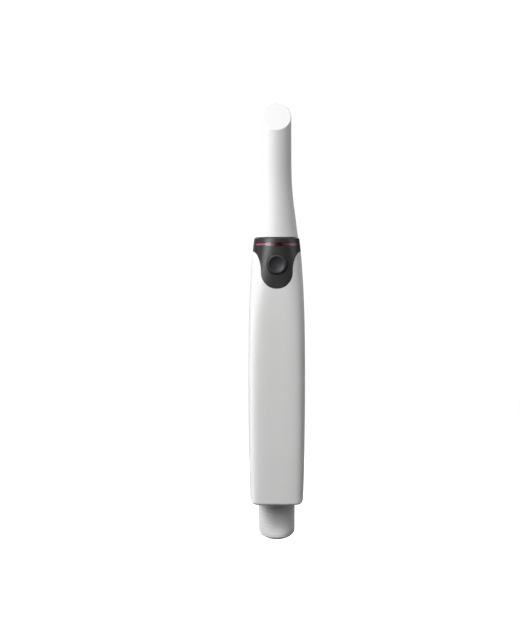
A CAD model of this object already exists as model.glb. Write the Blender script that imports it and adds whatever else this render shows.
"""Looks for the pen-shaped intraoral camera: materials, studio and camera.

Everything is in metres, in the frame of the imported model: +Z up the pen, -Y the button side.
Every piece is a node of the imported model, so this script only gives the nodes their materials."""

from math import cos, pi, radians, sin

import bmesh
import bpy
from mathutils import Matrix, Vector

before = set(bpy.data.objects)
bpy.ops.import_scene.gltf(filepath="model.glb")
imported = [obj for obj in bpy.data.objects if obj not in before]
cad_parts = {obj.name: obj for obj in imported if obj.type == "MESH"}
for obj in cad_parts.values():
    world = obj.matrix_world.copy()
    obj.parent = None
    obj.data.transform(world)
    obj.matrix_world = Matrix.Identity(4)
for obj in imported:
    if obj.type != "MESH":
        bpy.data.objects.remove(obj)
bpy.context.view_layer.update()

# ---------------------------------------------------------------- driving values
MM = 0.001
MICRON = 0.001 * MM
AXIS_Y = -3.5 * MM  # the optical axis

# the light bar
BAR_Z = 184.9 * MM  # its middle
GAP_X = 1.4 * MM  # middle of the dark stretch, in front of the gap between the emitters
CORE_HALF, CORE_FADE = 0.2 * MM, 0.85 * MM  # where the milky core begins to fade, and has gone
CORE_STARTS, CORE_FULL = 1.5 * MM, 8 * MM  # how far from the gap the core begins, and is full
RED_STARTS, RED_FULL = 0.5 * MM, 5 * MM  # the same for the red round it

# where one material passes into another on a node
DISC_FACE_Y = 10.0 * MM  # front of the LED's ceramic disc
DOME_BACK_Y = 9.96 * MM  # just in front of it, where the dome is all yellow
PADS_TOP_Z = 63.35 * MM  # top of the gold pads round the sensor's foot
MAIN_PARTS_Y = -15.95 * MM  # the main board's parts stand in front of this plane
BLEND = 0.05 * MM  # how far the change takes at the last two

# how far apart lines, wires and tracks lie
CABLE_TRACK_PITCH = 0.9 * MM
WIRE_PITCH = 0.32 * MM
GRID_PITCH = 0.5 * MM
HEATER_PITCH = 1.4 * MM
PAD_PITCH = 1.0 * MM

# a noise's stretch on each axis: a small value draws its marks out along that axis
ALONG_Z = (1, 1, 0.04)  # drawn or milled along the pen
ROUND_Z = (0.05, 0.05, 1)  # turned on a lathe, with the marks round the axis
ALONG_X = (0.04, 1, 1)  # rolled plate
EVEN = (1, 1, 1)

RIPPLE = 3  # a moulded skin's slow ripple, in times its grain's height
TRACK_GAIN, TRACK_LIFT = 1.7, 0.01  # how much lighter solder mask is over copper
WAVE_FACTOR = 20  # Blender's wave texture multiplies its coordinate by this
GLASS_IOR, PLASTIC_IOR, RUBBER_IOR = 1.52, 1.5, 1.45


# ---------------------------------------------------------------- node helpers
class Graph:
    """A material's node tree, with short calls for the nodes used here."""

    def __init__(self, name):
        self.material = bpy.data.materials.new(name)
        self.material.use_nodes = True
        self.tree = self.material.node_tree
        self.nodes = self.tree.nodes
        self.shader = self.nodes["Principled BSDF"]
        self.coords = self.nodes.new("ShaderNodeTexCoord")

    def link(self, source, target):
        self.tree.links.new(source, target)

    def set(self, **values):
        """Plain values on the shader's own sockets."""
        for key, value in values.items():
            self.shader.inputs[key.replace("_", " ")].default_value = value

    def feed(self, socket, value):
        """Links a varying value to one of the shader's sockets."""
        self.link(value, self.shader.inputs[socket])

    def space(self, stretch=EVEN):
        """Object coordinates, stretched on each axis."""
        mapping = self.nodes.new("ShaderNodeMapping")
        mapping.inputs["Scale"].default_value = stretch
        self.link(self.coords.outputs["Object"], mapping.inputs["Vector"])
        return mapping.outputs["Vector"]

    def axis(self, name):
        """One object coordinate, in metres."""
        node = self.nodes.new("ShaderNodeSeparateXYZ")
        self.link(self.coords.outputs["Object"], node.inputs["Vector"])
        return node.outputs[name]

    def math(self, operation, first, second=0.0):
        """A sum on sockets, plain numbers or one of each."""
        node = self.nodes.new("ShaderNodeMath")
        node.operation = operation
        for socket, value in zip(node.inputs, (first, second)):
            if isinstance(value, (int, float)):
                socket.default_value = value
            else:
                self.link(value, socket)
        return node.outputs["Value"]

    def distance_from(self, name, place):
        """How far a point is from a place on one axis, in metres."""
        return self.math("ABSOLUTE", self.math("SUBTRACT", self.axis(name), place))

    def noise(self, scale, detail=2.0, roughness=0.5, stretch=EVEN):
        """Noise in object space. Scale is in cycles per metre."""
        node = self.nodes.new("ShaderNodeTexNoise")
        node.inputs["Scale"].default_value = scale
        node.inputs["Detail"].default_value = detail
        node.inputs["Roughness"].default_value = roughness
        self.link(self.space(stretch), node.inputs["Vector"])
        return node.outputs["Fac"]

    def stripes(self, direction, pitch):
        """Smooth stripes across an axis, a pitch in metres apart."""
        node = self.nodes.new("ShaderNodeTexWave")
        node.bands_direction = direction
        node.inputs["Scale"].default_value = 2 * pi / (WAVE_FACTOR * pitch)
        self.link(self.space(), node.inputs["Vector"])
        return node.outputs["Fac"]

    def cells(self, scale):
        """Distance to the edges of random cells, for pebbles and traces."""
        node = self.nodes.new("ShaderNodeTexVoronoi")
        node.feature = "DISTANCE_TO_EDGE"
        node.inputs["Scale"].default_value = scale
        self.link(self.space(), node.inputs["Vector"])
        return node.outputs["Distance"]

    def spread(self, value, low, high, bottom=0.35, top=0.65):
        """Maps the part of a value's range from bottom to top on to low to high."""
        node = self.nodes.new("ShaderNodeMapRange")
        node.inputs["From Min"].default_value = bottom
        node.inputs["From Max"].default_value = top
        node.inputs["To Min"].default_value = low
        node.inputs["To Max"].default_value = high
        self.link(value, node.inputs["Value"])
        return node.outputs["Result"]

    def mix(self, factor, first, second):
        """Blends two colours; either may be a plain tuple or a socket."""
        node = self.nodes.new("ShaderNodeMix")
        node.data_type = "RGBA"
        self.link(factor, node.inputs["Factor"])
        sockets = [s for s in node.inputs if s.type == "RGBA"]
        for socket, colour in zip(sockets, (first, second)):
            if isinstance(colour, tuple):
                socket.default_value = (*colour, 1.0)
            else:
                self.link(colour, socket)
        return [s for s in node.outputs if s.type == "RGBA"][0]

    def bump(self, height, distance, after=None):
        """A bump of the given height in metres, laid over an earlier one if there is one."""
        node = self.nodes.new("ShaderNodeBump")
        node.inputs["Distance"].default_value = distance
        self.link(height, node.inputs["Height"])
        if after is not None:
            self.link(after, node.inputs["Normal"])
        self.feed("Normal", node.outputs["Normal"])
        return node.outputs["Normal"]

    def clouded(self, colour, tint, scale):
        """The colour, a little lighter and darker in soft patches."""
        light = tuple(min(1.0, c * (1 + tint)) for c in colour)
        dark = tuple(c * (1 - tint) for c in colour)
        return self.mix(self.spread(self.noise(scale, detail=3), 0, 1), dark, light)


# ---------------------------------------------------------------- materials
def moulded_plastic(name, colour, roughness, grain=4 * MICRON, tint=0.008):
    """Injection-moulded plastic: slight cloudiness in colour and gloss, a fine eroded texture,
    and faint handling marks where it is a little shinier."""
    g = Graph(name)
    g.feed("Base Color", g.clouded(colour, tint, scale=55))
    patches = g.spread(g.noise(scale=160, detail=4), roughness - 0.04, roughness + 0.04)
    smears = g.noise(scale=900, detail=5, roughness=0.6, stretch=(1, 1, 0.25))
    rubbed = g.spread(smears, 0.0, 0.03, bottom=0.55, top=0.75)
    g.feed("Roughness", g.math("SUBTRACT", patches, rubbed))
    eroded = g.bump(g.noise(scale=5200), grain)
    g.bump(g.noise(scale=420), grain * RIPPLE, after=eroded)
    g.set(IOR=PLASTIC_IOR)
    return g.material


def soft_rubber(name, colour, roughness, grain):
    """Moulded elastomer: matte, with a pebbled skin and a faint sheen of fine dust."""
    g = Graph(name)
    g.feed("Base Color", g.clouded(colour, tint=0.035, scale=90))
    g.feed("Roughness", g.spread(g.noise(scale=240, detail=4), roughness - 0.06, roughness + 0.06))
    pebbles = g.bump(g.cells(scale=2600), grain * 2)
    g.bump(g.noise(scale=7000, detail=3), grain, after=pebbles)
    g.set(IOR=RUBBER_IOR, Sheen_Weight=0.06, Sheen_Roughness=0.4)
    return g.material


def machined_metal(name, colour, roughness, stretch, coat=0.0, tint=0.05):
    """Metal with fine tool marks: the stretch draws the marks out."""
    g = Graph(name)
    g.feed("Base Color", g.clouded(colour, tint, scale=130))
    marks = g.noise(scale=9000, detail=3, roughness=0.6, stretch=stretch)
    g.feed("Roughness", g.spread(marks, roughness - 0.06, roughness + 0.1))
    fine = g.bump(marks, 1.5 * MICRON)
    g.bump(g.noise(scale=300), 8 * MICRON, after=fine)
    g.set(Metallic=1.0, Coat_Weight=coat, Coat_Roughness=0.2)
    return g.material


def optical_glass(name, colour):
    """Polished glass with a greenish coating, and a trace of dust that only its gloss shows."""
    g = Graph(name)
    dust = g.noise(scale=1400, detail=5, roughness=0.6)
    g.feed("Roughness", g.spread(dust, 0.01, 0.05, bottom=0.5, top=0.75))
    g.bump(g.noise(scale=35, detail=1), 2 * MICRON)
    g.set(Base_Color=(*colour, 1), Transmission_Weight=1.0, IOR=GLASS_IOR)
    g.set(Coat_Weight=0.4, Coat_Roughness=0.02, Coat_Tint=(0.72, 0.9, 0.82, 1))
    return g.material


def circuit_board(name, mask_colour, parts_at=None):
    """Solder mask over faint traces, and chip black on the parts in front of a plane across Y."""
    g = Graph(name)
    tracks = g.spread(g.cells(scale=520), 1, 0, bottom=0.02, top=0.06)
    vias = g.spread(g.noise(scale=1900, detail=0), 0, 1, bottom=0.69, top=0.72)
    over_copper = tuple(c * TRACK_GAIN + TRACK_LIFT for c in mask_colour)
    mask = g.mix(tracks, mask_colour, over_copper)
    face = g.mix(vias, mask, (0.45, 0.38, 0.2))
    if parts_at is not None:
        is_part = g.spread(g.axis("Y"), 0, 1, bottom=parts_at, top=parts_at - BLEND)
        face = g.mix(is_part, face, g.clouded(CHIP_BLACK, tint=0.12, scale=700))
    g.feed("Base Color", face)
    g.feed("Roughness", g.spread(g.noise(scale=800, detail=4), 0.3, 0.42))
    raised = g.bump(tracks, 30 * MICRON)
    g.bump(g.noise(scale=6000), 4 * MICRON, after=raised)
    return g.material


def flat_cable(name, direction):
    """Amber film over copper tracks that run along the strip."""
    g = Graph(name)
    tracks = g.spread(g.stripes(direction, CABLE_TRACK_PITCH), 0, 1, bottom=0.35, top=0.5)
    g.feed("Base Color", g.mix(tracks, (0.36, 0.13, 0.02), (0.62, 0.27, 0.07)))
    g.feed("Roughness", g.spread(g.noise(scale=700, detail=3), 0.22, 0.34))
    g.bump(tracks, 20 * MICRON)
    g.set(Coat_Weight=0.5, Coat_Roughness=0.1)
    return g.material


def light_guide_material():
    """Clear red bar with a milky core: pale along its middle, deep red at its edges. Its ends
    scatter more light than the stretch in front of the gap between the emitters."""
    g = Graph("light_guide")
    core = g.spread(g.distance_from("Z", BAR_Z), 1, 0, bottom=CORE_HALF, top=CORE_FADE)
    off_gap = g.distance_from("X", GAP_X)
    lit = g.spread(off_gap, 0, 1, bottom=CORE_STARTS, top=CORE_FULL)
    milky = g.math("MULTIPLY", core, lit)
    streaks = g.spread(g.noise(scale=260, detail=3), 0, 1)
    pale = g.mix(streaks, (0.24, 0.08, 0.12), (0.31, 0.12, 0.17))
    reddened = g.spread(off_gap, 0, 1, bottom=RED_STARTS, top=RED_FULL)
    deep = g.mix(reddened, (0.02, 0.001, 0.003), (0.11, 0.005, 0.022))
    g.feed("Base Color", g.mix(milky, deep, pale))
    g.feed("Roughness", g.spread(g.noise(scale=500, detail=3), 0.22, 0.30))
    g.bump(g.noise(scale=900), 6 * MICRON)
    g.set(Coat_Weight=0.45, Coat_Roughness=0.16, IOR=PLASTIC_IOR, Subsurface_Weight=0.15)
    g.set(Subsurface_Radius=(3 * MM, 0.8 * MM, 1 * MM), Subsurface_Scale=0.5)
    return g.material


def coil_winding():
    """Enamelled wire wound round the coil's flat former, one turn beside the next."""
    g = Graph("copper_winding")
    turns = g.stripes("Y", WIRE_PITCH)
    g.feed("Base Color", g.mix(turns, (0.30, 0.085, 0.03), (0.78, 0.33, 0.16)))
    g.feed("Roughness", g.spread(g.noise(scale=1500, detail=3), 0.2, 0.32))
    g.bump(turns, 80 * MICRON)
    g.set(Metallic=1.0, Coat_Weight=0.6, Coat_Roughness=0.1)
    return g.material


def grid_slide():
    """A glass disc with fine dark lines on it."""
    g = Graph("grid_slide")
    lines = g.spread(g.stripes("X", GRID_PITCH), 0, 1, bottom=0.45, top=0.55)
    g.feed("Base Color", g.mix(lines, (0.9, 0.94, 0.93), (0.05, 0.05, 0.06)))
    g.feed("Transmission Weight", g.math("SUBTRACT", 1.0, lines))
    g.feed("Roughness", g.spread(g.noise(scale=1400, detail=4), 0.02, 0.08))
    g.set(IOR=GLASS_IOR)
    return g.material


def heater_film():
    """Amber film with a copper track folded back and forth to warm the mirror."""
    g = Graph("heater_film")
    track = g.spread(g.stripes("X", HEATER_PITCH), 0, 1, bottom=0.4, top=0.5)
    g.feed("Base Color", g.mix(track, (0.33, 0.12, 0.02), (0.7, 0.33, 0.14)))
    g.feed("Metallic", track)
    g.feed("Roughness", g.spread(g.noise(scale=700, detail=3), 0.25, 0.35))
    g.bump(track, 20 * MICRON)
    return g.material


def front_mirror():
    """A silvered front surface, with a few faint wiping marks."""
    g = Graph("front_mirror")
    wiped = g.noise(scale=260, detail=6, roughness=0.6, stretch=(1, 0.2, 0.2))
    g.feed("Base Color", g.mix(g.spread(wiped, 0, 1), (0.90, 0.92, 0.94), (0.95, 0.96, 0.97)))
    g.feed("Roughness", g.spread(wiped, 0.01, 0.06, bottom=0.45, top=0.75))
    g.set(Metallic=1.0)
    return g.material


def led_package():
    """A yellow dome on a white ceramic disc with a fired, slightly grainy face."""
    g = Graph("led_package")
    is_dome = g.spread(g.axis("Y"), 1, 0, bottom=DOME_BACK_Y, top=DISC_FACE_Y)
    ceramic = g.clouded((0.82, 0.82, 0.78), tint=0.04, scale=900)
    g.feed("Base Color", g.mix(is_dome, ceramic, (0.86, 0.66, 0.08)))
    g.feed("Roughness", g.spread(g.noise(scale=2600, detail=3), 0.3, 0.5))
    g.bump(g.noise(scale=6000), 6 * MICRON)
    return g.material


def sensor_package():
    """Black ceramic chip carrier with gold pads round its foot."""
    g = Graph("sensor_package")
    low = g.spread(g.axis("Z"), 1, 0, bottom=PADS_TOP_Z, top=PADS_TOP_Z + BLEND)
    between = g.spread(g.stripes("X", PAD_PITCH), 0, 1, bottom=0.5, top=0.55)
    pads = g.math("MULTIPLY", low, between)
    g.feed("Base Color", g.mix(pads, (0.025, 0.025, 0.028), (0.8, 0.58, 0.22)))
    g.feed("Metallic", pads)
    g.feed("Roughness", g.spread(g.noise(scale=2200, detail=3), 0.3, 0.5))
    g.bump(g.noise(scale=5200), 6 * MICRON)
    return g.material


# ---------------------------------------------------------------- each node's look
WHITE = (0.80, 0.80, 0.795)
PCB_GREEN = (0.012, 0.10, 0.05)
CHIP_BLACK = (0.02, 0.02, 0.022)
BLACK_PLASTIC = (0.018, 0.018, 0.019)
LOOKS = [
    # the skin
    (moulded_plastic("casing_white", WHITE, 0.34), ["front_shell", "rear_shell", "end_plate"]),
    (moulded_plastic("tip_white", (0.80, 0.80, 0.80), 0.46), ["tip_shell"]),
    (soft_rubber("boot_white", (0.76, 0.76, 0.76), 0.5, 6 * MICRON), ["cable_boot"]),
    (moulded_plastic("collar_grey", (0.030, 0.030, 0.032), 0.36), ["collar"]),
    (moulded_plastic("button_grey", (0.036, 0.036, 0.039), 0.42), ["button_cap"]),
    (light_guide_material(), ["light_bar"]),
    # plastic inside
    (
        moulded_plastic("coupler_grey", (0.13, 0.13, 0.135), 0.45, grain=8 * MICRON),
        ["tip_coupler"],
    ),
    (
        moulded_plastic("black_plastic", BLACK_PLASTIC, 0.5, grain=10 * MICRON, tint=0.08),
        ["socket_insert", "light_barrel", "board_plug", "button_switch", "button_guide"],
    ),
    # metal
    (
        machined_metal("alloy", (0.62, 0.63, 0.65), 0.34, ALONG_Z),
        ["chassis", "lens_carriage", "focus_lever", "heat_sink", "boot_nut"],
    ),
    (
        machined_metal("nose_black", (0.035, 0.035, 0.04), 0.38, ROUND_Z, coat=0.25),
        ["nose_tube"],
    ),
    (
        machined_metal("ground_steel", (0.58, 0.57, 0.56), 0.24, ROUND_Z),
        ["guide_rod_left", "guide_rod_right", "lever_pin"]
        + ["tail_screws", "chassis_screws", "board_screws"],
    ),
    (
        machined_metal("rolled_steel", (0.42, 0.42, 0.43), 0.36, ALONG_X),
        ["magnet_yoke", "counterweight"],
    ),
    (machined_metal("nickel", (0.66, 0.63, 0.58), 0.14, EVEN, tint=0.02), ["coil_magnet"]),
    (machined_metal("gold", (0.83, 0.60, 0.22), 0.2, EVEN, tint=0.04), ["socket_pins"]),
    (coil_winding(), ["voice_coil"]),
    # boards and leads
    (circuit_board("main_pcb", PCB_GREEN, parts_at=MAIN_PARTS_Y), ["main_board"]),
    (circuit_board("sensor_pcb", PCB_GREEN), ["sensor_board", "button_board"]),
    (circuit_board("light_pcb", (0.5, 0.5, 0.48)), ["light_board"]),
    (flat_cable("flex_amber", "X"), ["ribbon_cable", "button_flex"]),
    (soft_rubber("lead_black", (0.02, 0.02, 0.021), 0.45, 4 * MICRON), ["signal_cable"]),
    (soft_rubber("seal_black", (0.016, 0.016, 0.017), 0.36, 2 * MICRON), ["nose_seal"]),
    # optics
    (
        optical_glass("optical_glass", (0.92, 0.97, 0.96)),
        ["objective_lens", "relay_lens", "field_lens"]
        + ["focus_lens", "imaging_lens", "condenser_lens"],
    ),
    (
        optical_glass("window_glass", (0.95, 0.97, 0.98)),
        ["nose_window", "sensor_glass", "beam_splitter"],
    ),
    (grid_slide(), ["pattern_grid"]),
    (heater_film(), ["mirror_heater"]),
    (front_mirror(), ["tip_mirror"]),
    (led_package(), ["led_module"]),
    (sensor_package(), ["image_sensor"]),
]
for material, names in LOOKS:
    for name in names:
        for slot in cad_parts[name].material_slots:
            slot.material = material
bare = set(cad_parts) - {name for _, names in LOOKS for name in names}
assert not bare, f"nodes without a look: {sorted(bare)}"


# ---------------------------------------------------------------- studio
FLOOR_R, SWEEP_R, WALL_TOP = 4.2, 0.8, 3.0
FLOOR_RINGS, SWEEP_STEPS, SWEEP_SIDES = 4, 24, 96
PAPER, PAPER_GLOW = (0.88, 0.88, 0.88), 0.97
AIR_STRENGTH = 0.03  # the light that reaches the pen from all round
MIDDLE = (0, 0, 0.14)  # where the lamps point


def pale_sheet():
    """White paper, glowing evenly, with the faintest mottling."""
    g = Graph("sweep_white")
    g.feed("Base Color", g.clouded(PAPER, tint=0.01, scale=3))
    g.set(Roughness=0.9, Specular_IOR_Level=0.0)
    g.set(Emission_Color=(1, 1, 1, 1), Emission_Strength=PAPER_GLOW)
    return g.material


def sweep_profile():
    """The sheet's section, from its first ring to the wall's top, as (radius, height)."""
    flat = [(FLOOR_R * i / FLOOR_RINGS, 0.0) for i in range(1, FLOOR_RINGS + 1)]
    angles = [i / SWEEP_STEPS * pi / 2 for i in range(1, SWEEP_STEPS + 1)]
    curve = [(FLOOR_R + SWEEP_R * sin(a), SWEEP_R * (1 - cos(a))) for a in angles]
    return flat + curve + [(FLOOR_R + SWEEP_R, WALL_TOP)]


def make_stage():
    """A round pale floor that sweeps up into a wall all round the pen and the camera."""
    mesh = bpy.data.meshes.new("sweep")
    bm = bmesh.new()
    middle = bm.verts.new((0, 0, 0))
    turns = [2 * pi * k / SWEEP_SIDES for k in range(SWEEP_SIDES)]
    rings = []
    for radius, height in sweep_profile():
        rings.append([bm.verts.new((radius * cos(t), radius * sin(t), height)) for t in turns])
    for k in range(SWEEP_SIDES):
        following = (k + 1) % SWEEP_SIDES
        bm.faces.new((middle, rings[0][k], rings[0][following]))
        for inner, outer in zip(rings, rings[1:]):
            bm.faces.new((inner[k], outer[k], outer[following], inner[following]))
    bm.to_mesh(mesh)
    bm.free()
    for p in mesh.polygons:
        p.use_smooth = True
    obj = bpy.data.objects.new("studio_sweep", mesh)
    obj.data.materials.append(pale_sheet())
    bpy.context.collection.objects.link(obj)
    # the pen is lit by the lamps and the air of the studio, not by this bright sheet
    obj.visible_diffuse = False
    obj.visible_glossy = False


def area_light(name, place, aim, width, height, power):
    """A rectangular soft box at a place, pointed at another."""
    data = bpy.data.lights.new(name, "AREA")
    data.shape = "RECTANGLE"
    data.size = width
    data.size_y = height
    data.energy = power
    obj = bpy.data.objects.new(name, data)
    obj.location = place
    obj.rotation_euler = (Vector(aim) - Vector(place)).to_track_quat("-Z", "Y").to_euler()
    bpy.context.collection.objects.link(obj)
    return obj


def around(azimuth, distance, height):
    """A place round the pen: azimuth 0 is the camera's side, and positive is to the right."""
    a = radians(azimuth)
    return (distance * sin(a), -distance * cos(a), height)


make_stage()
# name: place, the panel's width and height, power in watts, and whether gloss reflects it
LAMPS = {
    "key": (around(-40, 1.4, 1.0), 0.9, 1.2, 21.0, True),
    "front": (around(-25, 1.4, 0.8), 0.9, 1.2, 4.2, True),
    "overhead": ((0, -0.1, 1.25), 1.8, 1.8, 7.0, True),
    "fill": (around(84, 1.3, 0.6), 1.0, 1.0, 3.3, True),
    "side": (around(-95, 1.1, 0.7), 1.0, 1.0, 9.0, False),
    "low_left": (around(-103, 0.6, 0.03), 0.3, 0.12, 1.1, False),
    "rear_right": (around(142, 1.3, 0.7), 1.0, 1.0, 11.0, False),
    "rear": (around(-165, 1.4, 0.8), 1.0, 1.2, 3.5, True),
}
for name, (place, width, height, power, glossy) in LAMPS.items():
    area_light(name, place, MIDDLE, width, height, power).visible_glossy = glossy

# the floor's own glow, close under the tail
BOUNCE_Y, BOUNCE_Z = -6.5 * MM, 0.4 * MM
BOUNCE_WIDTH, BOUNCE_DEPTH, BOUNCE_POWER = 30 * MM, 8 * MM, 0.0008
under, straight_up = (0, BOUNCE_Y, BOUNCE_Z), (0, BOUNCE_Y, 1)
bounce = area_light("bounce", under, straight_up, BOUNCE_WIDTH, BOUNCE_DEPTH, BOUNCE_POWER)
bounce.visible_camera = False
bounce.visible_glossy = False

world = bpy.data.worlds.new("studio_air")
bpy.context.scene.world = world
world.use_nodes = True
background = world.node_tree.nodes["Background"]
background.inputs["Color"].default_value = (1, 1, 1, 1)
background.inputs["Strength"].default_value = AIR_STRENGTH
bpy.context.scene.view_settings.view_transform = "Standard"

# ---------------------------------------------------------------- camera
CAMERA_DISTANCE = 3.0
CAMERA_X, CAMERA_Z = -10.5 * MM, 144.5 * MM
FRAME_HEIGHT = 0.3875  # what the picture's height spans at the pen
NEAR_CLIP = 0.05
camera_data = bpy.data.cameras.new("camera")
camera_data.lens = camera_data.sensor_width * CAMERA_DISTANCE / FRAME_HEIGHT
camera_data.clip_start = NEAR_CLIP
camera = bpy.data.objects.new("camera", camera_data)
camera.location = (CAMERA_X, AXIS_Y - CAMERA_DISTANCE, CAMERA_Z)
camera.rotation_euler = (pi / 2, 0, 0)
bpy.context.collection.objects.link(camera)
bpy.context.scene.camera = camera
